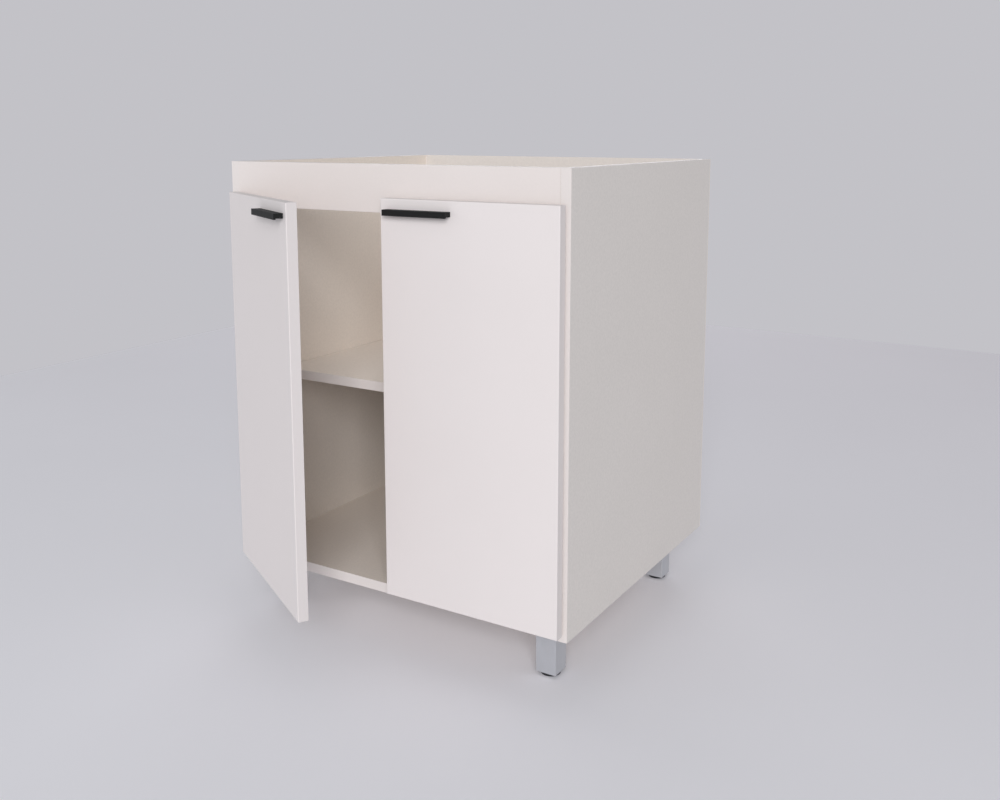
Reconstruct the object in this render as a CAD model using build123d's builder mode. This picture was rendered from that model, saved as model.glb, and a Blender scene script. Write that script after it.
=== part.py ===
import os

from build123d import *

os.makedirs("parts", exist_ok=True)

# Sink base cabinet, open at the top, in millimetres.
# x runs from the centre line to the right, y from front to back, z up from the floor.
# A place across the cabinet is written as a distance inwards from the outer side face,
# and a place in depth as a distance behind the front of the side panels.

left = -1
right = 1
sides = (left, right)
below = (Align.CENTER, Align.CENTER, Align.MAX)
above = (Align.CENTER, Align.CENTER, Align.MIN)

# Carcass boards
cabinet_width = 700
carcass_height = 756
panel_depth = 590
board = 18
edge_band = 0.8
band_arris = 0.4
back_sheet = 4
rail_height = 81

# Shelf
shelf_level = 353.5  # shelf top above the carcass underside
shelf_setback = 96
shelf_end_gap = 0.5
shelf_back_gap = 2

# Legs and levelling feet
floor_gap = 94  # floor to the carcass underside
leg_size = 38
leg_wall = 1.5
leg_corner = 1.2
leg_side_inset = 43
leg_front_inset = 43.5
leg_rear_inset = 56
leg_plate_size = 64
leg_plate_thickness = 2.5
leg_plate_corner = 6
leg_screw_inset = 7
leg_screw_length = 13
insert_height = 15
insert_gap = 0.05
foot_radius = 17
foot_height = 5.2
foot_gap = 0.3
foot_edge = 0.8
stud_radius = 4
stud_length = 45
stud_gap = 0.05

# Doors
door_thickness = 18
door_side_reveal = 7
door_centre_gap = 13
door_bottom_reveal = 11
door_top_reveal = 55
door_standoff = 3
door_arris = 1.5
door_back_arris = 0.5
left_opening = 30  # degrees, as the photograph shows it
right_opening = 0
bumper_radius = 3
bumper_height = 2.6
bumper_end_inset = 15
bumper_top_inset = 8
bumper_bottom_inset = 4

# Handles
handle_length = 125
handle_height = 10
handle_reach = 15.5
handle_bar_thickness = 3.6
handle_post_length = 20
handle_post_height = 8.2
handle_web = 2.4
handle_edge = 0.4
handle_end_inset = 14.2
handle_top_inset = 17.3
handle_screw_spacing = 96
handle_screw_radius = 2
handle_screw_gap = 0.3
handle_screw_bite = 10
handle_screw_head = 4
handle_screw_head_height = 2.4

# Concealed hinges: an arm turns on a pin in the mounting plate, and the door's cup on the arm
hinge_end_distance = 100
arm_share = 0.27  # the arm's turn for each degree of the door's
arm_pin_rise = 24
arm_pin_setback = 33
arm_pin_radius = 2
arm_pin_end = 1
arm_eye = 5
cup_pin_inset = 11
cup_pin_depth = 5
cup_pin_radius = 1.6
cup_pin_end_gap = 0.15
cup_eye = 3.2
arm_width = 10
arm_thickness = 3.4
arm_bend = 3
arm_knees = ((6, -1), (13, 2), (17, 10))  # the closed arm's bends, from the cup pin
arm_gap = 0.6
pin_running_gap = 0.05
pin_press_gap = 0.02
cup_setback = 22.5  # cup centre from the door's hinge edge
cup_bore = 17.5
cup_bore_depth = 12.5
cup_gap = 0.1
cup_wall = 1.2
cup_floor = 1.4
cup_mouth = 17  # height of the slot in the cup that the arm moves in
cup_flange = 1
cup_flange_radius = 19
cup_flange_edge = 10  # the flange stops this far from the cup's centre, towards the door's edge
cup_pad_radius = 6.5
cup_screw_spacing = 45
cup_screw_offset = 9.5
cup_screw_length = 12
plate_front = 16
plate_length = 42
plate_half_height = 25
plate_thickness = 2.5
plate_corner = 4
ear_thickness = 2.5
ear_margin = 8
ear_corner = 1.5
web_thickness = 2
web_gap = 1
plate_screw_spacing = 32
plate_screw_radius = 2.4
plate_screw_length = 13.5
plate_screw_head = 3.6
plate_screw_head_height = 2

# Small screws and their holes
screw_radius = 1.6
screw_gap = 0.05
screw_head = 3.5
screw_head_height = 1.6
drive_width = 1
drive_depth = 1
back_screw_length = 16
back_screw_head_gap = 0.1
back_screw_margin = 40
back_screw_rows = 5
back_screw_columns = 3

# Cam fittings, dowels and shelf pins
cam_setback = 24
cam_radius = 7.5
cam_depth = 13.5
cam_gap = 0.1
cam_front_inset = 130
cam_rear_inset = 150
cam_rail_inset = 25
cam_bolt_radius = 2.5
cam_bolt_bite = 10.5
cam_bolt_neck = 2.1
cam_bolt_head = 3.3
cam_bolt_head_length = 3.5
cam_bolt_bore = 3.7
dowel_radius = 4
dowel_gap = 0.05
dowel_side_bite = 11.5
dowel_board_bite = 22
dowel_spacing = 32
dowel_chamfer = 0.8
hole_end_gap = 0.5
pin_radius = 2.5
pin_bite = 9.5
pin_seat_length = 8
pin_seat_width = 9
pin_seat_height = 6.5
pin_seat_corner = 2.5
pin_front_inset = 40
pin_rear_inset = 60

# Places that follow from the sizes above
half_width = cabinet_width / 2
inner_x = half_width - board
carcass_top = floor_gap + carcass_height
total_depth = panel_depth + back_sheet
shelf_bottom = floor_gap + shelf_level - board
door_width = (cabinet_width - 2 * door_side_reveal - door_centre_gap) / 2
door_bottom = floor_gap + door_bottom_reveal
door_top = carcass_top - door_top_reveal
door_back = -door_standoff
door_front = door_back - door_thickness
hinge_levels = (door_bottom + hinge_end_distance, door_top - hinge_end_distance)
arm_pin_x = board + arm_pin_rise
cup_pin_x = door_side_reveal + cup_pin_inset
cup_pin_y = door_back - cup_pin_depth
cup_x = door_side_reveal + cup_setback
plate_middle = plate_front + plate_length / 2
handle_outer = door_side_reveal + door_width - handle_end_inset
handle_middle = handle_outer - handle_length / 2
handle_top = door_top - handle_top_inset
handle_screw_level = handle_top - handle_post_height / 2
leg_bottom = foot_height + foot_gap
leg_x = half_width - leg_side_inset - leg_size / 2
leg_front_y = leg_front_inset + leg_size / 2
leg_rear_y = total_depth - leg_rear_inset - leg_size / 2
leg_screw_place = leg_plate_size / 2 - leg_screw_inset
legs = {
    "front_left": (-leg_x, leg_front_y),
    "front_right": (leg_x, leg_front_y),
    "rear_left": (-leg_x, leg_rear_y),
    "rear_right": (leg_x, leg_rear_y),
}


# A side's frame as a hinge sees it: the origin on the outer face, at the carcass front
def side_frame(side, front):
    return Plane((side * half_width, front, 0))


# The hinge arm's frame, on the arm pin, turned with the arm
def arm_frame(side, opening, front):
    pin = side_frame(side, front).from_local_coords((-side * arm_pin_x, arm_pin_setback, 0))
    turn = -side * arm_share * opening
    return Plane(pin, x_dir=Vector(1, 0, 0).rotate(Axis.Z, turn))


# The door's frame, on the cup pin, turned with the door
def door_frame(side, opening, front):
    arm = arm_frame(side, opening, front)
    pin = arm.from_local_coords((side * (arm_pin_x - cup_pin_x), cup_pin_y - arm_pin_setback, 0))
    return Plane(pin, x_dir=Vector(1, 0, 0).rotate(Axis.Z, side * opening))


# A door's own x for a distance inwards from the cabinet's outer side face, and its own y
def door_x(side, inwards):
    return -side * (inwards - cup_pin_x)


def door_y(depth):
    return depth - cup_pin_y


# The footprint's middle is y = 0: the open door's handle reaches as far forward as the back is behind
handle_tip = door_frame(left, left_opening, 0).from_local_coords(
    (door_x(left, handle_outer), door_y(door_front - handle_reach), 0)
)
front_y = (-handle_tip.Y - total_depth) / 2

carcass = Plane((0, front_y, 0))
frames = {
    left: door_frame(left, left_opening, front_y),
    right: door_frame(right, right_opening, front_y),
}
arms = {
    left: arm_frame(left, left_opening, front_y),
    right: arm_frame(right, right_opening, front_y),
}


# An upright plane that faces forward, its x to the right and its y up
def facing_front(base, x, y, z):
    return Plane(base.from_local_coords((x, y, z)), x_dir=base.x_dir, z_dir=-base.y_dir)


# An upright plane that faces the back, its x to the left and its y up
def facing_back(base, x, y, z):
    return Plane(base.from_local_coords((x, y, z)), x_dir=-base.x_dir, z_dir=base.y_dir)


# A level plane that faces the floor
def facing_down(base, x, y, z):
    return Plane(base.from_local_coords((x, y, z)), x_dir=base.x_dir, z_dir=-base.z_dir)


# The inner face of a side panel, facing inwards, at a depth and a height
def on_side(side, y, z):
    place = carcass.from_local_coords((side * inner_x, y, z))
    return Plane(place, x_dir=(0, -side, 0), z_dir=(-side, 0, 0))


def keep(part, label):
    part.label = label
    export_step(part, f"parts/{label}.step")


# Round bars on each seat plane, from so far below it to so far above it
def bars(seats, radius, below_seat, above_seat, mode=Mode.ADD):
    with Locations(*[seat.offset(-below_seat) for seat in seats]):
        Cylinder(radius, below_seat + above_seat, align=above, mode=mode)


# A cross recess in each screw head, cut down from the head's top
def drives(seats, rise, head_radius):
    with Locations(*[seat.offset(rise) for seat in seats]):
        Box(head_radius, drive_width, drive_depth, align=below, mode=Mode.SUBTRACT)
        Box(drive_width, head_radius, drive_depth, align=below, mode=Mode.SUBTRACT)


# Places of the fittings
cam_depths = (cam_front_inset, panel_depth - cam_rear_inset)
cam_places = [(side, y) for side in sides for y in cam_depths]
floor_cams = [on_side(side, y, floor_gap + board / 2) for side, y in cam_places]
floor_dowels = [on_side(side, y + dowel_spacing, floor_gap + board / 2) for side, y in cam_places]
rail_cams = [on_side(side, board / 2, carcass_top - cam_rail_inset) for side in sides]
rail_dowels = [
    on_side(side, board / 2, carcass_top - cam_rail_inset - dowel_spacing) for side in sides
]
shelf_pin_rows = (shelf_setback + pin_front_inset, panel_depth - pin_rear_inset)
shelf_pin_level = shelf_bottom - pin_seat_height / 2
shelf_pin_seats = [on_side(side, y, shelf_pin_level) for side in sides for y in shelf_pin_rows]
plate_screw_levels = [
    level + way * plate_screw_spacing / 2 for level in hinge_levels for way in (-1, 1)
]
plate_screw_seats = {
    side: [on_side(side, plate_middle, level) for level in plate_screw_levels]
    for side in sides
}
leg_screw_points = [
    (x + across * leg_screw_place, y + along * leg_screw_place)
    for x, y in legs.values()
    for across in (-1, 1)
    for along in (-1, 1)
]
leg_screw_seats = [facing_down(carcass, x, y, floor_gap) for x, y in leg_screw_points]

back_row_pitch = (carcass_height - 2 * back_screw_margin) / (back_screw_rows - 1)
back_column_pitch = (2 * inner_x - 2 * back_screw_margin) / (back_screw_columns - 1)
back_side_points = [
    (side * (half_width - board / 2), floor_gap + back_screw_margin + row * back_row_pitch)
    for side in sides
    for row in range(back_screw_rows)
]
back_floor_points = [
    (-inner_x + back_screw_margin + column * back_column_pitch, floor_gap + board / 2)
    for column in range(back_screw_columns)
]
back_screw_seats = [
    facing_back(carcass, x, total_depth, z) for x, z in back_side_points + back_floor_points
]


# Side panel, drilled for its hinge plates, shelf pins, cam bolts, dowels and back screws
def make_side_panel(side):
    with BuildPart() as panel:
        with BuildSketch(carcass.offset(floor_gap)):
            with Locations((side * (half_width - board / 2), (edge_band + panel_depth) / 2)):
                Rectangle(board, panel_depth - edge_band)
        extrude(amount=carcass_height - edge_band)
        own = [seat for seat in floor_cams + rail_cams if seat.z_dir.X * side < 0]
        bars(own, cam_bolt_radius + screw_gap, cam_bolt_bite + hole_end_gap, 0, Mode.SUBTRACT)
        own = [seat for seat in floor_dowels + rail_dowels if seat.z_dir.X * side < 0]
        bars(own, dowel_radius + dowel_gap, dowel_side_bite + hole_end_gap, 0, Mode.SUBTRACT)
        own = [seat for seat in shelf_pin_seats if seat.z_dir.X * side < 0]
        bars(own, pin_radius + screw_gap, pin_bite + hole_end_gap, 0, Mode.SUBTRACT)
        depth = plate_screw_length - plate_thickness + hole_end_gap
        bars(plate_screw_seats[side], plate_screw_radius + screw_gap, depth, 0, Mode.SUBTRACT)
        own = [seat for seat in back_screw_seats if seat.origin.X * side > inner_x]
        bars(own, screw_radius + screw_gap, back_screw_length + hole_end_gap, 0, Mode.SUBTRACT)
    return panel.part


for name, side in (("left", left), ("right", right)):
    keep(make_side_panel(side), f"{name}_side_panel")

# Banding on the side panels' front and top edges
with BuildPart() as side_panel_edging:
    with BuildSketch(carcass.offset(floor_gap)):
        with Locations(*[(side * (half_width - board / 2), edge_band / 2) for side in sides]):
            Rectangle(board, edge_band)
    extrude(amount=carcass_height)
    with BuildSketch(carcass.offset(carcass_top - edge_band)):
        for side in sides:
            with Locations((side * (half_width - board / 2), (edge_band + panel_depth) / 2)):
                Rectangle(board, panel_depth - edge_band)
    extrude(amount=edge_band)
    front_edges = side_panel_edging.faces().group_by(Axis.Y)[0].edges()
    top_edges = side_panel_edging.faces().group_by(Axis.Z)[-1].edges()
    rear_edges = top_edges.group_by(Axis.Y)[-1]
    fillet(front_edges.filter_by(Axis.Z) + (top_edges - rear_edges), band_arris)
keep(side_panel_edging.part, "side_panel_edging")

# Bottom panel between the sides
with BuildPart() as bottom_panel:
    with BuildSketch(carcass.offset(floor_gap)):
        with Locations((0, (edge_band + panel_depth) / 2)):
            Rectangle(2 * inner_x, panel_depth - edge_band)
    extrude(amount=board)
    bars(floor_cams, cam_bolt_bore, 0, cam_setback, Mode.SUBTRACT)
    bars(floor_dowels, dowel_radius + dowel_gap, 0, dowel_board_bite + hole_end_gap, Mode.SUBTRACT)
    with BuildSketch(carcass.offset(floor_gap)):
        with Locations(*[(side * (inner_x - cam_setback), y) for side, y in cam_places]):
            Circle(cam_radius)
    extrude(amount=cam_depth, mode=Mode.SUBTRACT)
    bars(leg_screw_seats, screw_radius + screw_gap, leg_screw_length, 0, Mode.SUBTRACT)
    floor_seats = [seat for seat in back_screw_seats if abs(seat.origin.X) < inner_x]
    bars(floor_seats, screw_radius + screw_gap, back_screw_length + hole_end_gap, 0, Mode.SUBTRACT)
keep(bottom_panel.part, "bottom_panel")

with BuildPart() as bottom_panel_edging:
    with BuildSketch(carcass.offset(floor_gap)):
        with Locations((0, edge_band / 2)):
            Rectangle(2 * inner_x, edge_band)
    extrude(amount=board)
    fillet(bottom_panel_edging.edges().filter_by(Axis.X).group_by(Axis.Y)[0], band_arris)
keep(bottom_panel_edging.part, "bottom_panel_edging")

# Front rail between the sides, its face flush with their front edges
with BuildPart() as front_rail:
    with BuildSketch(carcass.offset(carcass_top - rail_height + edge_band)):
        with Locations((0, board / 2)):
            Rectangle(2 * inner_x, board)
    extrude(amount=rail_height - 2 * edge_band)
    bars(rail_cams, cam_bolt_bore, 0, cam_setback, Mode.SUBTRACT)
    bars(rail_dowels, dowel_radius + dowel_gap, 0, dowel_board_bite + hole_end_gap, Mode.SUBTRACT)
    with BuildSketch(facing_back(carcass, 0, board, carcass_top - cam_rail_inset)):
        with Locations(*[(side * (inner_x - cam_setback), 0) for side in sides]):
            Circle(cam_radius)
    extrude(amount=-cam_depth, mode=Mode.SUBTRACT)
keep(front_rail.part, "front_rail")

with BuildPart() as rail_edging:
    for level in (carcass_top - rail_height, carcass_top - edge_band):
        with BuildSketch(carcass.offset(level)):
            with Locations((0, board / 2)):
                Rectangle(2 * inner_x, board)
        extrude(amount=edge_band)
    levels = rail_edging.edges().filter_by(Axis.X).group_by(Axis.Z)
    fillet(levels[0] + levels[-1], band_arris)
keep(rail_edging.part, "rail_edging")

# Back sheet over the whole back, with countersunk screw holes
head_drop = screw_head - screw_radius
with BuildPart() as back_panel:
    with BuildSketch(carcass.offset(floor_gap)):
        with Locations((0, panel_depth + back_sheet / 2)):
            Rectangle(cabinet_width, back_sheet)
    extrude(amount=carcass_height)
    with Locations(*back_screw_seats):
        Cone(
            screw_radius + back_screw_head_gap,
            screw_head + back_screw_head_gap,
            head_drop,
            align=below,
            mode=Mode.SUBTRACT,
        )
    bars(back_screw_seats, screw_radius + back_screw_head_gap, back_sheet, 0, Mode.SUBTRACT)
keep(back_panel.part, "back_panel")

with BuildPart() as back_screws:
    with Locations(*back_screw_seats):
        Cone(screw_radius, screw_head, head_drop, align=below)
    bars(back_screw_seats, screw_radius, back_screw_length, 0)
    drives(back_screw_seats, 0, screw_head)
keep(back_screws.part, "back_screws")

# Shelf, loose on four pins
shelf_depth = panel_depth - shelf_back_gap - shelf_setback - edge_band
with BuildPart() as shelf:
    with BuildSketch(carcass.offset(shelf_bottom)):
        with Locations((0, shelf_setback + edge_band + shelf_depth / 2)):
            Rectangle(2 * (inner_x - shelf_end_gap), shelf_depth)
    extrude(amount=board)
keep(shelf.part, "shelf")

with BuildPart() as shelf_edging:
    with BuildSketch(carcass.offset(shelf_bottom)):
        with Locations((0, shelf_setback + edge_band / 2)):
            Rectangle(2 * (inner_x - shelf_end_gap), edge_band)
    extrude(amount=board)
    fillet(shelf_edging.edges().filter_by(Axis.X).group_by(Axis.Y)[0], band_arris)
keep(shelf_edging.part, "shelf_edging")

with BuildPart() as shelf_pins:
    for seat in shelf_pin_seats:
        with BuildSketch(seat):
            Rectangle(pin_seat_width, pin_seat_height)
        extrude(amount=pin_seat_length)
    lower_edges = shelf_pins.edges().filter_by(Axis.X).group_by(Axis.Z)[0]
    fillet(lower_edges, pin_seat_corner)
    bars(shelf_pin_seats, pin_radius, pin_bite, 0)
keep(shelf_pins.part, "shelf_pins")

# Cam fittings: bolts screwed into the sides, housings under the bottom panel and behind the rail
with BuildPart() as cam_bolts:
    cams = floor_cams + rail_cams
    bars(cams, cam_bolt_radius, cam_bolt_bite, 0)
    bars(cams, cam_bolt_neck, 0, cam_setback)
    heads = [seat.offset(cam_setback) for seat in cams]
    bars(heads, cam_bolt_head, cam_bolt_head_length / 2, cam_bolt_head_length / 2)
keep(cam_bolts.part, "cam_bolts")

cam_height = cam_depth - cam_gap
housing_seats = [
    facing_down(carcass, side * (inner_x - cam_setback), y, floor_gap) for side, y in cam_places
] + [
    facing_back(carcass, side * (inner_x - cam_setback), board, carcass_top - cam_rail_inset)
    for side in sides
]
with BuildPart() as cam_housings:
    bars(housing_seats, cam_radius - cam_gap, cam_height, 0)
    bars(cams, cam_bolt_bore, 0, cam_setback + cam_bolt_bore, Mode.SUBTRACT)
    drives(housing_seats, 0, cam_radius)
keep(cam_housings.part, "cam_housings")

with BuildPart() as dowels:
    bars(floor_dowels + rail_dowels, dowel_radius, dowel_side_bite, dowel_board_bite)
    chamfer(dowels.edges().filter_by(GeomType.CIRCLE), dowel_chamfer)
keep(dowels.part, "dowels")

# Leg plates, screwed under the bottom panel
plate_bottom = floor_gap - leg_plate_thickness
with BuildPart() as leg_plates:
    with BuildSketch(carcass.offset(plate_bottom)):
        with Locations(*legs.values()):
            RectangleRounded(leg_plate_size, leg_plate_size, leg_plate_corner)
        with Locations(*leg_screw_points):
            Circle(screw_radius + screw_gap, mode=Mode.SUBTRACT)
    extrude(amount=leg_plate_thickness)
keep(leg_plates.part, "leg_plates")

plate_seats = [seat.offset(leg_plate_thickness) for seat in leg_screw_seats]
with BuildPart() as leg_plate_screws:
    bars(plate_seats, screw_radius, leg_screw_length, 0)
    bars(plate_seats, screw_head, 0, screw_head_height)
    drives(plate_seats, screw_head_height, screw_head)
keep(leg_plate_screws.part, "leg_plate_screws")

# Plastic inserts, pressed into the tubes' lower ends and threaded for the feet
leg_bore = leg_size - 2 * leg_wall
with BuildPart() as leg_inserts:
    with BuildSketch(carcass.offset(leg_bottom)):
        with Locations(*legs.values()):
            Rectangle(leg_bore - 2 * insert_gap, leg_bore - 2 * insert_gap)
            Circle(stud_radius + stud_gap, mode=Mode.SUBTRACT)
    extrude(amount=insert_height)
keep(leg_inserts.part, "leg_inserts")


# Square tube leg, from its foot up to its plate
def make_leg(place):
    with BuildPart() as leg:
        with BuildSketch(carcass.offset(leg_bottom)):
            with Locations(place):
                RectangleRounded(leg_size, leg_size, leg_corner)
                Rectangle(leg_bore, leg_bore, mode=Mode.SUBTRACT)
        extrude(amount=plate_bottom - leg_bottom)
    return leg.part


# Levelling foot: a round pad and the stud that screws into the insert
def make_foot(place):
    with BuildPart() as foot:
        with BuildSketch(carcass):
            with Locations(place):
                Circle(foot_radius)
        extrude(amount=foot_height)
        fillet(foot.edges().filter_by(GeomType.CIRCLE), foot_edge)
        with BuildSketch(carcass.offset(foot_height)):
            with Locations(place):
                Circle(stud_radius)
        extrude(amount=stud_length)
    return foot.part


for name, place in legs.items():
    keep(make_leg(place), f"{name}_leg")
    keep(make_foot(place), f"{name}_foot")


# Seat planes on a door: its cups, cup screws, handle screws and bumpers face the back
def cup_seats(side):
    return [
        facing_back(frames[side], door_x(side, cup_x), door_y(door_back), level)
        for level in hinge_levels
    ]


def cup_screw_seats(side):
    return [
        facing_back(
            frames[side],
            door_x(side, cup_x + cup_screw_offset),
            door_y(door_back),
            level + way * cup_screw_spacing / 2,
        )
        for level in hinge_levels
        for way in (-1, 1)
    ]


def handle_screw_seats(side):
    return [
        facing_back(
            frames[side],
            door_x(side, handle_middle + way * handle_screw_spacing / 2),
            door_y(door_back),
            handle_screw_level,
        )
        for way in (-1, 1)
    ]


def bumper_seats(side):
    inwards = door_side_reveal + door_width - bumper_end_inset
    return [
        facing_back(frames[side], door_x(side, inwards), door_y(door_back), level)
        for level in (door_bottom + bumper_bottom_inset, door_top - bumper_top_inset)
    ]


# Door leaf, with a rounded front arris, bored for its hinges and its handle
def make_door(side):
    base = frames[side]
    middle = door_x(side, door_side_reveal + door_width / 2)
    with BuildPart() as door:
        with BuildSketch(base.offset(door_bottom)):
            with Locations((middle, door_y(door_back - door_thickness / 2))):
                Rectangle(door_width, door_thickness)
        extrude(amount=door_top - door_bottom)
        front = door.faces().sort_by(Axis((0, 0, 0), base.y_dir))[0]
        fillet(front.edges(), door_arris)
        rear = door.faces().sort_by(Axis((0, 0, 0), base.y_dir))[-1]
        fillet(rear.edges(), door_back_arris)
        bars(cup_seats(side), cup_bore, cup_bore_depth, 0, Mode.SUBTRACT)
        bars(cup_screw_seats(side), screw_radius + screw_gap, cup_screw_length, 0, Mode.SUBTRACT)
        hole = handle_screw_radius + handle_screw_gap
        bars(handle_screw_seats(side), hole, door_thickness, 0, Mode.SUBTRACT)
    return door.part


# Bar handle: a flat bar on two end posts and a web along their tops, open below for the fingers
def make_handle(side):
    base = frames[side]
    seat = facing_front(base, door_x(side, handle_middle), door_y(door_front), handle_top)
    post_reach = handle_reach - handle_bar_thickness
    recess = handle_length - 2 * handle_post_length
    top = (Align.CENTER, Align.MAX)
    with BuildPart() as handle:
        with BuildSketch(seat.offset(post_reach)):
            Rectangle(handle_length, handle_height, align=top)
        extrude(amount=handle_bar_thickness)
        fillet(handle.edges(), handle_edge)
        with BuildSketch(seat):
            Rectangle(handle_length, handle_post_height, align=top)
            with Locations((0, -handle_web)):
                Rectangle(recess, handle_post_height - handle_web, align=top, mode=Mode.SUBTRACT)
        extrude(amount=post_reach + handle_edge)
        seats = [place.offset(-door_thickness) for place in handle_screw_seats(side)]
        hole = handle_screw_radius + screw_gap
        bars(seats, hole, handle_screw_bite + hole_end_gap, 0, Mode.SUBTRACT)
    return handle.part


def make_handle_screws(side):
    seats = handle_screw_seats(side)
    with BuildPart() as screws:
        bars(seats, handle_screw_radius, door_thickness + handle_screw_bite, 0)
        bars(seats, handle_screw_head, 0, handle_screw_head_height)
        drives(seats, handle_screw_head_height, handle_screw_head)
    return screws.part


# Hinge cup: a thin round cup with a flange on the door's back and holes for its pin
def make_cups(side):
    base = frames[side]
    outer = cup_bore - cup_gap
    depth = cup_bore_depth - cup_gap
    with BuildPart() as cups:
        for seat, level in zip(cup_seats(side), hinge_levels):
            with BuildSketch(seat):
                Circle(cup_flange_radius)
                pads = [(side * cup_screw_offset, way * cup_screw_spacing / 2) for way in (-1, 1)]
                with Locations(*pads):
                    Circle(cup_pad_radius)
                make_hull()
                with Locations((-side * (cup_flange_edge + cup_flange_radius), 0)):
                    Rectangle(2 * cup_flange_radius, 2 * cup_screw_spacing, mode=Mode.SUBTRACT)
                with Locations(*pads):
                    Circle(screw_radius + screw_gap, mode=Mode.SUBTRACT)
            extrude(amount=cup_flange)
            bars([seat], outer, depth, 0)
            with BuildSketch(seat.offset(cup_flange)):
                Circle(outer - cup_wall)
                Rectangle(2 * outer, cup_mouth, mode=Mode.INTERSECT)
            extrude(amount=cup_floor - depth - cup_flange, mode=Mode.SUBTRACT)
            with BuildSketch(base.offset(level - outer)):
                Circle(cup_pin_radius + pin_press_gap)
            extrude(amount=2 * outer, mode=Mode.SUBTRACT)
    return cups.part


def make_cup_screws(side):
    seats = [seat.offset(cup_flange) for seat in cup_screw_seats(side)]
    with BuildPart() as screws:
        bars(seats, screw_radius, cup_screw_length, 0)
        bars(seats, screw_head, 0, screw_head_height)
        drives(seats, screw_head_height, screw_head)
    return screws.part


# Cup pins, upright through the cups' walls and the arms' small eyes
def make_cup_pins(side):
    offset = cup_setback - cup_pin_inset + cup_pin_radius
    outer = cup_bore - cup_gap
    reach = (outer**2 - offset**2) ** 0.5 - cup_pin_end_gap
    with BuildPart() as pins:
        bars([frames[side].offset(level) for level in hinge_levels], cup_pin_radius, reach, reach)
    return pins.part


# Hinge arm: a bent strip from the cup pin over the door's back to the arm pin
def make_arms(side):
    base = arms[side]
    start = (cup_pin_x - arm_pin_x, cup_pin_y - arm_pin_setback)
    bends = [(start[0] + x, start[1] + y) for x, y in ((0, 0), *arm_knees)]
    points = [(-side * x, y) for x, y in (*bends, (0, 0))]
    with BuildPart() as strip:
        for level in hinge_levels:
            with BuildSketch(base.offset(level - arm_width / 2)):
                with BuildLine():
                    FilletPolyline(*points, radius=arm_bend)
                trace(line_width=arm_thickness)
                Circle(arm_eye)
                with Locations(points[0]):
                    Circle(cup_eye)
                    Circle(cup_pin_radius + pin_running_gap, mode=Mode.SUBTRACT)
                Circle(arm_pin_radius + pin_running_gap, mode=Mode.SUBTRACT)
            extrude(amount=arm_width)
    return strip.part


def arm_pin_seats(side):
    return [arm_frame(side, 0, front_y).offset(level) for level in hinge_levels]


# Mounting plate on the side panel, with two ears for the arm pin and a web between them
def make_mounting_plates(side):
    base = side_frame(side, front_y)
    ear_level = arm_width / 2 + arm_gap
    ear_outer = arm_pin_x + arm_eye + web_gap + web_thickness
    ear_middle = (board + ear_outer) / 2
    with BuildPart() as plates:
        for level in hinge_levels:
            with BuildSketch(on_side(side, plate_middle, level)):
                RectangleRounded(plate_length, 2 * plate_half_height, plate_corner)
            extrude(amount=plate_thickness)
            for low in (level - ear_level - ear_thickness, level + ear_level):
                with BuildSketch(base.offset(low)):
                    with Locations((-side * ear_middle, arm_pin_setback)):
                        Rectangle(ear_outer - board, 2 * ear_margin)
                extrude(amount=ear_thickness)
            with BuildSketch(base.offset(level - ear_level)):
                with Locations((-side * (ear_outer - web_thickness / 2), arm_pin_setback)):
                    Rectangle(web_thickness, 2 * ear_margin)
            extrude(amount=2 * ear_level)
        ends = plates.edges().filter_by(Axis.Z).group_by(Axis.X)[-1 if side == left else 0]
        fillet(ends, ear_corner)
        reach = ear_level + ear_thickness
        bars(arm_pin_seats(side), arm_pin_radius + pin_press_gap, reach, reach, Mode.SUBTRACT)
        hole = plate_screw_radius + screw_gap
        bars(plate_screw_seats[side], hole, 0, plate_thickness, Mode.SUBTRACT)
    return plates.part


def make_bumpers(side):
    with BuildPart() as bumpers:
        bars(bumper_seats(side), bumper_radius, 0, bumper_height)
    return bumpers.part


for name, side in (("left", left), ("right", right)):
    keep(make_door(side), f"{name}_door")
    keep(make_handle(side), f"{name}_handle")
    keep(make_handle_screws(side), f"{name}_handle_screws")
    keep(make_cups(side), f"{name}_hinge_cups")
    keep(make_cup_screws(side), f"{name}_cup_screws")
    keep(make_cup_pins(side), f"{name}_cup_pins")
    keep(make_arms(side), f"{name}_hinge_arms")
    keep(make_mounting_plates(side), f"{name}_mounting_plates")
    keep(make_bumpers(side), f"{name}_door_bumpers")

# Pins that the hinge arms turn on, through the plates' ears
arm_pin_reach = arm_width / 2 + arm_gap + ear_thickness + arm_pin_end
with BuildPart() as arm_pins:
    for side in sides:
        bars(arm_pin_seats(side), arm_pin_radius, arm_pin_reach, arm_pin_reach)
keep(arm_pins.part, "arm_pins")

# Screws that hold the mounting plates to the sides
plate_tops = [seat.offset(plate_thickness) for side in sides for seat in plate_screw_seats[side]]
with BuildPart() as plate_screws:
    bars(plate_tops, plate_screw_radius, plate_screw_length, 0)
    bars(plate_tops, plate_screw_head, 0, plate_screw_head_height)
    drives(plate_tops, plate_screw_head_height, plate_screw_head)
keep(plate_screws.part, "plate_screws")
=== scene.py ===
import math

import bmesh
import bpy
from mathutils import Matrix, Vector


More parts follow.
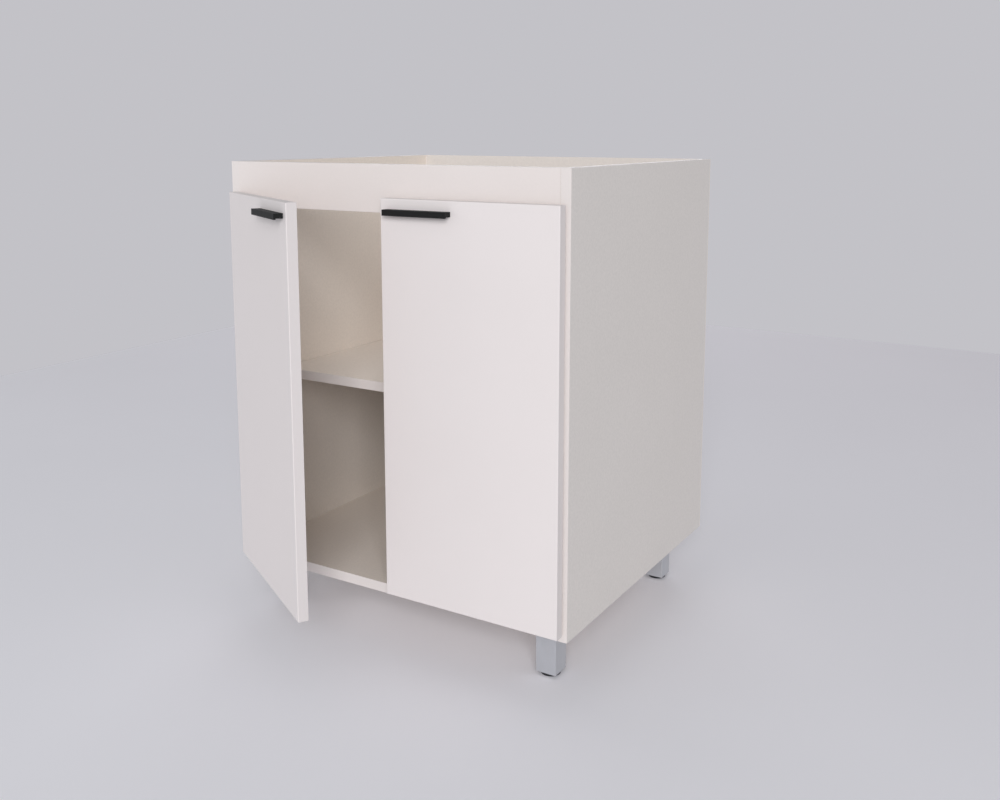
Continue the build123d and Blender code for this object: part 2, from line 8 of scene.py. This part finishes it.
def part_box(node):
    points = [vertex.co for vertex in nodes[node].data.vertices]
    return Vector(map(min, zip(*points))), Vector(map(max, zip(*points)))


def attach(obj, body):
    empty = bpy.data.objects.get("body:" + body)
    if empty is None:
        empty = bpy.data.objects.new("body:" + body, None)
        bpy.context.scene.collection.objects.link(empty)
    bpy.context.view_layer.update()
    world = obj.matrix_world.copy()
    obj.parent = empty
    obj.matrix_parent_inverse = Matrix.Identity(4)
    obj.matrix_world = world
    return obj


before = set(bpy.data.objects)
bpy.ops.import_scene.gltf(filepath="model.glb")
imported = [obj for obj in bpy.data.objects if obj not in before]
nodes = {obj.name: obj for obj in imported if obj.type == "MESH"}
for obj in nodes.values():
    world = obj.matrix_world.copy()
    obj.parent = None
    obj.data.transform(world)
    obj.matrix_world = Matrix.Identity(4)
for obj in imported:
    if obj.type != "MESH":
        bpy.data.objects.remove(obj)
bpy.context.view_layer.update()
print("frame loaded:", len(nodes), "nodes")

scene = bpy.context.scene
scene.view_settings.view_transform = "Standard"

noiseSpan = (0.3, 0.7)  # a noise texture's values mostly lie between these


# A new material, its node tree, its shader and its object coordinates
def startMaterial(name):
    made = bpy.data.materials.new(name)
    made.use_nodes = True
    tree = made.node_tree
    where = tree.nodes.new("ShaderNodeTexCoord").outputs["Object"]
    return made, tree, tree.nodes["Principled BSDF"], where


# A socket fed by a link from another socket, or set to a plain value
def feed(tree, value, socket):
    if hasattr(value, "is_linked"):
        tree.links.new(value, socket)
    else:
        socket.default_value = value


# The X, Y and Z of a vector
def axes(tree, vector):
    parts = tree.nodes.new("ShaderNodeSeparateXYZ")
    tree.links.new(vector, parts.inputs[0])
    return parts.outputs


# A cloud pattern whose features are about as large as the size, in metres
def noise(tree, where, size, detail, stretch=(1, 1, 1)):
    place = tree.nodes.new("ShaderNodeMapping")
    place.inputs["Scale"].default_value = [s / size for s in stretch]
    tree.links.new(where, place.inputs["Vector"])
    cloud = tree.nodes.new("ShaderNodeTexNoise")
    cloud.inputs["Scale"].default_value = 1.0
    cloud.inputs["Detail"].default_value = detail
    tree.links.new(place.outputs["Vector"], cloud.inputs["Vector"])
    return cloud.outputs["Fac"]


# A colour for a value, from stops that are each a place and a colour
def ramp(tree, value, stops):
    shade = tree.nodes.new("ShaderNodeValToRGB")
    while len(shade.color_ramp.elements) < len(stops):
        shade.color_ramp.elements.new(0.5)
    for point, (place, colour) in zip(shade.color_ramp.elements, stops):
        point.position = place
        point.color = (*colour, 1)
    tree.links.new(value, shade.inputs["Fac"])
    return shade.outputs["Color"]


# A value's span, by default a noise value's, laid over the numbers from low to high
def spread(tree, value, low, high, span=noiseSpan):
    remap = tree.nodes.new("ShaderNodeMapRange")
    remap.inputs["From Min"].default_value = span[0]
    remap.inputs["From Max"].default_value = span[1]
    remap.inputs["To Min"].default_value = low
    remap.inputs["To Max"].default_value = high
    tree.links.new(value, remap.inputs["Value"])
    return remap.outputs["Result"]


# A calculation on one value, with a second value or a number
def compute(tree, operation, first, second=0.0):
    maths = tree.nodes.new("ShaderNodeMath")
    maths.operation = operation
    feed(tree, first, maths.inputs[0])
    feed(tree, second, maths.inputs[1])
    return maths.outputs[0]


# Two colours mixed: a Mix node has its colours in sockets 6 and 7, and its result in output 2
def blend(tree, factor, first, second, way="MIX"):
    mix = tree.nodes.new("ShaderNodeMix")
    mix.data_type = "RGBA"
    mix.blend_type = way
    feed(tree, factor, mix.inputs[0])
    feed(tree, first, mix.inputs[6])
    feed(tree, second, mix.inputs[7])
    return mix.outputs[2]


# A fine relief from a height value, with its depth in metres
def bump(tree, shader, height, depth, strength):
    relief = tree.nodes.new("ShaderNodeBump")
    relief.inputs["Distance"].default_value = depth
    relief.inputs["Strength"].default_value = strength
    tree.links.new(height, relief.inputs["Height"])
    tree.links.new(relief.outputs["Normal"], shader.inputs["Normal"])


# A colour made a little darker and a little lighter
def tones(colour, contrast):
    return [tuple(c * (1 + way * contrast) for c in colour) for way in (-1, 1)]


# A colour that a noise value makes a little darker or lighter
def mottled(tree, value, colour, contrast):
    return ramp(tree, value, list(zip(noiseSpan, tones(colour, contrast))))


# A colour dimmed in broad clouds
def clouded(tree, value, colour, dim):
    clouds = ramp(tree, value, list(zip(noiseSpan, (dim, (1, 1, 1)))))
    return blend(tree, 1.0, colour, clouds, "MULTIPLY")


# Camera at the photograph's viewing angle, tilted a little so that less lens shift is needed
camera = {
    "place": (1.07711, -1.60515, 0.9047),
    "turn": (math.pi / 2 - 0.15019, 0, 0.54539),
    "lens": 37.85,
    "sensor": 36,
    "shiftY": -0.11,
}
eye = bpy.data.objects.new("camera", bpy.data.cameras.new("camera"))
scene.collection.objects.link(eye)
eye.location = camera["place"]
eye.rotation_euler = camera["turn"]
eye.data.lens = camera["lens"]
eye.data.shift_y = camera["shiftY"]
eye.data.sensor_width = camera["sensor"]
scene.camera = eye
print("camera placed")

# Large soft lamps, aimed at the middle of the cabinet
lamps = {
    "key": {
        "place": (6.075, -9.75, 4.9),
        "aim": (0, 0, 0.4),
        "size": 5.4,
        "power": 952,
        "colour": (0.97, 0.98, 1.0),
    },
    "leftFill": {
        "place": (-6.0, -2.9, 1.5),
        "aim": (0, 0, 0.45),
        "size": 3.6,
        "power": 57,
        "colour": (0.95, 0.97, 1.0),
    },
    "backFill": {
        "place": (-2.6, 5.2, 2.4),
        "aim": (0, 0, 0.5),
        "size": 3.0,
        "power": 38,
        "colour": (0.95, 0.97, 1.0),
    },
}
for name, lamp in lamps.items():
    glow = bpy.data.lights.new(name, "AREA")
    glow.size = lamp["size"]
    glow.energy = lamp["power"]
    glow.color = lamp["colour"]
    holder = bpy.data.objects.new(name, glow)
    scene.collection.objects.link(holder)
    holder.visible_camera = False
    holder.location = lamp["place"]
    away = holder.location - Vector(lamp["aim"])
    holder.rotation_mode = "QUATERNION"
    holder.rotation_quaternion = away.to_track_quat("Z", "Y")

# Soft light from all round, and a plain pale tone where a ray sees or reflects it
surround = {"light": (0.95, 0.97, 1.0), "strength": 0.385, "seen": (0.545, 0.54, 0.572)}
world = bpy.data.worlds.new("surround")
scene.world = world
world.use_nodes = True
sky = world.node_tree
background = sky.nodes["Background"]
background.inputs["Color"].default_value = (*surround["light"], 1)
background.inputs["Strength"].default_value = surround["strength"]
backdrop = sky.nodes.new("ShaderNodeBackground")
backdrop.inputs["Color"].default_value = (*surround["seen"], 1)
ray = sky.nodes.new("ShaderNodeLightPath")
seen = ray.outputs["Is Camera Ray"]
for kind in ("Is Glossy Ray", "Is Transmission Ray"):
    seen = compute(sky, "MAXIMUM", seen, ray.outputs[kind])
pick = sky.nodes.new("ShaderNodeMixShader")
sky.links.new(seen, pick.inputs["Fac"])
sky.links.new(background.outputs[0], pick.inputs[1])
sky.links.new(backdrop.outputs[0], pick.inputs[2])
sky.links.new(pick.outputs[0], sky.nodes["World Output"].inputs["Surface"])

# A pale floor that ends behind the cabinet, against the tone of the surround; its colour fades to a
# slightly darker, pinker tone towards the back, as painted shade
floor = {
    "left": -2.5,
    "right": 4.6,
    "front": -3.9,
    "back": 3.07,
    "nearColour": (0.885, 0.881, 0.916),
    "farColour": (0.88, 0.844, 0.885),
    "fadeFrom": -1.5,  # the near colour holds in front of this
    "cloudSize": 0.9,
    "cloudTone": (0.985, 0.985, 0.985),
    "roughness": 0.9,
    "gloss": 0.2,
}
shell = bmesh.new()
corners = [
    (floor[x], floor[y], 0)
    for x, y in (("left", "front"), ("right", "front"), ("right", "back"), ("left", "back"))
]
bmesh.ops.contextual_create(shell, geom=[shell.verts.new(corner) for corner in corners])
sheet = bpy.data.meshes.new("studioFloor")
shell.to_mesh(sheet)
shell.free()
studioFloor = bpy.data.objects.new("studioFloor", sheet)
scene.collection.objects.link(studioFloor)
floorPaint, tree, shader, where = startMaterial("floorPaint")
# Painted shade: the floor's tone fades from the near colour to the far colour towards the back
fade = spread(tree, axes(tree, where)["Y"], 0, 1, span=(floor["fadeFrom"], floor["back"]))
paint = ramp(tree, fade, ((0, floor["nearColour"]), (1, floor["farColour"])))
clouds = noise(tree, where, floor["cloudSize"], detail=3)
paint = clouded(tree, clouds, paint, floor["cloudTone"])
tree.links.new(paint, shader.inputs["Base Color"])
shader.inputs["Roughness"].default_value = floor["roughness"]
shader.inputs["Specular IOR Level"].default_value = floor["gloss"]
sheet.materials.append(floorPaint)
print("studio set")


# One on faces that look along an axis, nought on the others, for pieces that never turn
def facesAlong(tree, axis):
    facing = tree.nodes.new("ShaderNodeNewGeometry").outputs["True Normal"]
    along = compute(tree, "ABSOLUTE", axes(tree, facing)[axis])
    return compute(tree, "GREATER_THAN", along, 0.5)


# The chips that a board's cut sides show
chips = {
    "scale": 420,
    "tones": ((0.0, (0.50, 0.36, 0.21)), (0.45, (0.42, 0.29, 0.16)), (0.9, (0.20, 0.13, 0.07))),
}


def rawChips(tree, where):
    cells = tree.nodes.new("ShaderNodeTexVoronoi")
    cells.inputs["Scale"].default_value = chips["scale"]
    tree.links.new(where, cells.inputs["Vector"])
    return ramp(tree, cells.outputs["Distance"], chips["tones"])


# Faced board: finely speckled faces, chips on the cut sides, and a brighter, warmer white inside a
# side, painted light that stands in for light bounced around the inside
board = {
    "speckSize": 0.0045,
    "speckContrast": 0.03,
    "speckSpan": (0.32, 0.5, 0.68),
    "speckDepth": 0.00003,
    "cloudSize": 0.16,
    "cloudTone": (0.985, 0.985, 0.982),
    "roughness": (0.44, 0.52),
}


def boardFinish(
    name,
    colour,
    faceAxis=None,
    contrast=board["speckContrast"],
    speck=board["speckSize"],
    bounceLit=None,
):
    made, tree, shader, where = startMaterial(name)
    fine = noise(tree, where, speck, detail=4)

    def speckled(tone):
        low, high = tones(tone, contrast)
        return ramp(tree, fine, list(zip(board["speckSpan"], (low, tone, high))))

    face = speckled(colour)
    # Painted light: inner faces take a brighter, warmer white for light bounced around inside
    if bounceLit is not None:
        outward = compute(tree, "ABSOLUTE", axes(tree, where)["X"])
        within = compute(tree, "LESS_THAN", outward, bounceLit["reach"])
        face = blend(tree, within, face, speckled(bounceLit["colour"]))
    broad = noise(tree, where, board["cloudSize"], detail=2)
    face = clouded(tree, broad, face, board["cloudTone"])
    if faceAxis is not None:
        face = blend(tree, facesAlong(tree, faceAxis), rawChips(tree, where), face)
    tree.links.new(face, shader.inputs["Base Color"])
    tree.links.new(spread(tree, broad, *board["roughness"]), shader.inputs["Roughness"])
    bump(tree, shader, fine, board["speckDepth"], strength=0.5)
    return made


# Foil on a door's faces, with painted shade on its narrow sides: a darker, greyer colour there
foil = {
    "grain": 0.0012,
    "contrast": 0.006,
    "cloudSize": 0.22,
    "cloudTone": (0.988, 0.987, 0.985),
    "roughness": (0.40, 0.47),
    "peelSize": 0.006,
    "peelDepth": 0.00006,
    "sideLimit": 0.7,  # a face that looks more than this along x or z is a narrow side's
}


def foilFinish(name, colour, shadedSideColour):
    made, tree, shader, where = startMaterial(name)
    fine = noise(tree, where, foil["grain"], detail=3)
    broad = noise(tree, where, foil["cloudSize"], detail=2)
    peel = noise(tree, where, foil["peelSize"], detail=2)
    skin = clouded(tree, broad, mottled(tree, fine, colour, foil["contrast"]), foil["cloudTone"])
    facing = axes(tree, where.node.outputs["Normal"])
    across = compute(tree, "ABSOLUTE", facing["X"])
    upright = compute(tree, "ABSOLUTE", facing["Z"])
    sideways = compute(tree, "MAXIMUM", across, upright)
    shadedSides = compute(tree, "GREATER_THAN", sideways, foil["sideLimit"])
    # Painted shade: the narrow sides take the darker, greyer colour
    skin = blend(tree, shadedSides, skin, (*shadedSideColour, 1))
    tree.links.new(skin, shader.inputs["Base Color"])
    tree.links.new(spread(tree, broad, *foil["roughness"]), shader.inputs["Roughness"])
    bump(tree, shader, peel, foil["peelDepth"], strength=0.35)
    return made


# Plastic edge band, with fine upright lines
band = {
    "lineSize": 0.0009,
    "stretch": (1, 1, 0.12),
    "contrast": 0.012,
    "depth": 0.00003,
    "roughness": 0.42,
}


def bandFinish(name, colour):
    made, tree, shader, where = startMaterial(name)
    lines = noise(tree, where, band["lineSize"], detail=3, stretch=band["stretch"])
    tree.links.new(mottled(tree, lines, colour, band["contrast"]), shader.inputs["Base Color"])
    shader.inputs["Roughness"].default_value = band["roughness"]
    bump(tree, shader, lines, band["depth"], strength=0.4)
    return made


# Metal with a fine grain and faint clouds
metal = {"contrast": 0.05, "cloudSize": 0.03}


def metalFinish(name, colour, metallic, roughness, grain, depth, stretch=(1, 1, 1)):
    made, tree, shader, where = startMaterial(name)
    brushed = noise(tree, where, grain, detail=4, stretch=stretch)
    broad = noise(tree, where, metal["cloudSize"], detail=2)
    grained = mottled(tree, brushed, colour, metal["contrast"])
    tint = blend(tree, 0.5, grained, mottled(tree, broad, colour, metal["contrast"]))
    tree.links.new(tint, shader.inputs["Base Color"])
    shader.inputs["Metallic"].default_value = metallic
    tree.links.new(spread(tree, brushed, *roughness), shader.inputs["Roughness"])
    bump(tree, shader, brushed, depth, strength=0.5)
    return made


# Plastic, rubber or paint with a fine texture
plastic = {"contrast": 0.12, "roughnessSpread": 0.06}


def plasticFinish(name, colour, roughness, grain, depth, gloss=0.5):
    made, tree, shader, where = startMaterial(name)
    leather = noise(tree, where, grain, detail=3)
    tree.links.new(mottled(tree, leather, colour, plastic["contrast"]), shader.inputs["Base Color"])
    low, high = (roughness + way * plastic["roughnessSpread"] for way in (-1, 1))
    tree.links.new(spread(tree, leather, low, high), shader.inputs["Roughness"])
    shader.inputs["Specular IOR Level"].default_value = gloss
    bump(tree, shader, leather, depth, strength=0.6)
    return made


# Beech, with its grain along a dowel
beech = {
    "raySize": 0.0012,
    "stretch": (0.08, 1, 1),
    "tones": ((0.3, (0.42, 0.25, 0.13)), (0.55, (0.60, 0.40, 0.23)), (0.75, (0.68, 0.49, 0.31))),
    "depth": 0.0001,
    "roughness": 0.6,
}


def beechFinish(name):
    made, tree, shader, where = startMaterial(name)
    rays = noise(tree, where, beech["raySize"], detail=4, stretch=beech["stretch"])
    tree.links.new(ramp(tree, rays, beech["tones"]), shader.inputs["Base Color"])
    shader.inputs["Roughness"].default_value = beech["roughness"]
    bump(tree, shader, rays, beech["depth"], strength=0.6)
    return made


# Each finish, and below it the nodes that wear it
# A brighter, warmer white than the outer faces, painted light for light bounced around inside the
# cabinet; the shelf and bottom wear it all over
bounceLitWhite = (0.90, 0.815, 0.735)
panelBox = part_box("right_side_panel")
panelBounceLit = {"reach": (panelBox[0].x + panelBox[1].x) / 2, "colour": bounceLitWhite}
finishes = {
    # The side boards' outer white is darker than the rail's, painted shade on the sides that the
    # key light strikes at a slant
    "sideBoard": boardFinish("sideBoard", (0.726, 0.682, 0.647), "X", bounceLit=panelBounceLit),
    "levelBoard": boardFinish("levelBoard", bounceLitWhite, "Z"),
    "railBoard": boardFinish("railBoard", (0.79, 0.722, 0.692), "Y", contrast=0.006),
    "backSheet": boardFinish("backSheet", (0.79, 0.735, 0.69), contrast=0.02, speck=0.005),
    # The doors' narrow sides get a darker colour as painted shade
    "doorFoil": foilFinish("doorFoil", (0.81, 0.752, 0.736), shadedSideColour=(0.69, 0.643, 0.63)),
    "edgeBand": bandFinish("edgeBand", (0.775, 0.715, 0.685)),
    "legSteel": metalFinish(
        "legSteel",
        (0.555, 0.565, 0.592),
        metallic=0.55,
        roughness=(0.36, 0.46),
        grain=0.0006,
        depth=0.00002,
        stretch=(1, 1, 0.03),
    ),
    "nickel": metalFinish(
        "nickel", (0.66, 0.64, 0.60), metallic=1, roughness=(0.22, 0.34), grain=0.004, depth=0.00001
    ),
    "zinc": metalFinish(
        "zinc", (0.66, 0.67, 0.68), metallic=1, roughness=(0.28, 0.42), grain=0.002, depth=0.00002
    ),
    "castZinc": metalFinish(
        "castZinc",
        (0.50, 0.50, 0.52),
        metallic=1,
        roughness=(0.42, 0.58),
        grain=0.0008,
        depth=0.00006,
    ),
    "blackCoat": plasticFinish(
        "blackCoat", (0.010, 0.010, 0.010), roughness=0.62, grain=0.0005, depth=0.00004, gloss=0.2
    ),
    "blackPlastic": plasticFinish(
        "blackPlastic",
        (0.020, 0.020, 0.024),
        roughness=0.55,
        grain=0.0009,
        depth=0.00006,
        gloss=0.3,
    ),
    "milkyRubber": plasticFinish(
        "milkyRubber", (0.72, 0.72, 0.69), roughness=0.35, grain=0.002, depth=0.00002
    ),
    "beech": beechFinish("beech"),
}
legs = ("front_left_leg", "front_right_leg", "rear_left_leg", "rear_right_leg")
worn = {
    "sideBoard": ("left_side_panel", "right_side_panel"),
    "levelBoard": ("bottom_panel", "shelf"),
    "railBoard": ("front_rail",),
    "backSheet": ("back_panel",),
    "doorFoil": ("left_door", "right_door"),
    "edgeBand": ("side_panel_edging", "bottom_panel_edging", "rail_edging", "shelf_edging"),
    "legSteel": (*legs, "leg_plates"),
    "nickel": (
        "left_hinge_cups",
        "right_hinge_cups",
        "left_cup_pins",
        "right_cup_pins",
        "left_hinge_arms",
        "right_hinge_arms",
        "left_mounting_plates",
        "right_mounting_plates",
        "arm_pins",
    ),
    "zinc": (
        "left_handle_screws",
        "right_handle_screws",
        "left_cup_screws",
        "right_cup_screws",
        "plate_screws",
        "leg_plate_screws",
        "cam_bolts",
        "back_screws",
        "shelf_pins",
    ),
    "castZinc": ("cam_housings",),
    "blackCoat": ("left_handle", "right_handle"),
    "blackPlastic": (
        "front_left_foot",
        "front_right_foot",
        "rear_left_foot",
        "rear_right_foot",
        "leg_inserts",
    ),
    "milkyRubber": ("left_door_bumpers", "right_door_bumpers"),
    "beech": ("dowels",),
}
for finish, members in worn.items():
    for member in members:
        for materialSlot in nodes[member].material_slots:
            materialSlot.material = finishes[finish]
print("finishes laid on", sum(len(members) for members in worn.values()), "nodes")


# A turned piece from a profile of (radius, rise) pairs, moved to its place by a matrix
def turned(shell, profile, move, steps=28):
    before = set(shell.verts)
    verts = [shell.verts.new((radius, 0, rise)) for radius, rise in profile]
    edges = [shell.edges.new(pair) for pair in zip(verts, verts[1:])]
    bmesh.ops.spin(
        shell,
        geom=verts + edges,
        cent=(0, 0, 0),
        axis=(0, 0, 1),
        dvec=(0, 0, 0),
        angle=math.tau,
        steps=steps,
        use_merge=True,
        use_duplicate=False,
    )
    made = [vert for vert in shell.verts if vert not in before]
    bmesh.ops.remove_doubles(shell, verts=made, dist=1e-6)
    made = [vert for vert in shell.verts if vert not in before]
    bmesh.ops.transform(shell, matrix=move, verts=made)
    return made


sharpAngle = 50  # degrees, past which an edge between two faces stays sharp


# A finished shell as a smooth piece with sharp corners, which rides a body
def addPiece(name, shell, finish, body="cabinet"):
    bmesh.ops.recalc_face_normals(shell, faces=shell.faces)
    mesh = bpy.data.meshes.new(name)
    shell.to_mesh(mesh)
    shell.free()
    for face in mesh.polygons:
        face.use_smooth = True
    mesh.set_sharp_from_angle(angle=math.radians(sharpAngle))
    piece = bpy.data.objects.new(name, mesh)
    scene.collection.objects.link(piece)
    mesh.materials.append(finishes[finish])
    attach(piece, body)


# Domed rivet heads over both ends of the hinges' arm pins
rivets = {
    "radius": 0.0034,
    "stand": 0.001,
    "skirt": 0.0006,
    "dome": 0.0008,
    "domeSteps": 6,
    "pinLength": 0.0182,
}
low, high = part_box("arm_pins")
pinRadius = (high.y - low.y) / 2
rivetHead = [(0, -rivets["stand"]), (rivets["radius"], -rivets["stand"])]
for step in range(rivets["domeSteps"] + 1):
    lean = step / rivets["domeSteps"] * math.pi / 2
    rise = rivets["skirt"] - rivets["stand"] + rivets["dome"] * math.sin(lean)
    rivetHead.append((rivets["radius"] * math.cos(lean), rise))
shell = bmesh.new()
for x in (low.x + pinRadius, high.x - pinRadius):
    for foot in (low.z, high.z - rivets["pinLength"]):
        for end, way in ((foot, -1), (foot + rivets["pinLength"], 1)):
            place = Matrix.Translation((x, (low.y + high.y) / 2, end))
            turned(shell, rivetHead, place @ Matrix.Scale(way, 4, (0, 0, 1)))
addPiece("hingeRivets", shell, "nickel")

# Screws that set a door's depth, on the mounting plates behind the fixing screws
depthScrews = {
    "head": ((0, 0.5), (1.1, 0.5), (1.5, 1.3), (3.1, 1.3), (3.5, 0.9), (3.6, 0), (0, 0)),  # mm
    "fromRear": 0.009,
    "plateThickness": 0.0025,
    "plateHalfHeight": 0.025,
}
screwHead = [(radius / 1000, rise / 1000) for radius, rise in depthScrews["head"]]
low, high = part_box("left_mounting_plates")
shell = bmesh.new()
for side in (-1, 1):
    x = side * (abs(low.x) - depthScrews["plateThickness"])
    for z in (low.z + depthScrews["plateHalfHeight"], high.z - depthScrews["plateHalfHeight"]):
        place = Matrix.Translation((x, high.y - depthScrews["fromRear"], z))
        turned(shell, screwHead, place @ Matrix.Rotation(-side * math.pi / 2, 4, "Y"))
addPiece("hingeDepthScrews", shell, "zinc")

# Weld beads where the leg tubes meet their plates, turned, rippled and pushed out to the square
welds = {"width": 0.0022, "steps": 160, "ripple": 0.16, "ripples": 56, "arcSteps": 4}
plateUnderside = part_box("leg_plates")[0].z
leans = [step / welds["arcSteps"] * math.pi / 2 for step in range(welds["arcSteps"] + 1)]
arc = [(welds["width"] * math.cos(lean), -welds["width"] * math.sin(lean)) for lean in leans]
shell = bmesh.new()
for leg in legs:
    low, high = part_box(leg)
    middle, half = (low + high) / 2, (high.x - low.x) / 2
    bead = [(half + out, rise) for out, rise in (*arc, (0, 0), arc[0])]
    for vert in turned(shell, bead, Matrix(), welds["steps"]):
        angle = math.atan2(vert.co.y, vert.co.x)
        swell = 1 + welds["ripple"] * math.sin(welds["ripples"] * angle)
        squeeze = max(abs(math.cos(angle)), abs(math.sin(angle)))
        reach = (half + (math.hypot(vert.co.x, vert.co.y) - half) * swell) / squeeze
        vert.co.z = plateUnderside + vert.co.z * swell
        vert.co.x = middle.x + reach * math.cos(angle)
        vert.co.y = middle.y + reach * math.sin(angle)
addPiece("legWelds", shell, "legSteel")
print("pieces riding: hinge rivets, hinge depth screws, leg welds")
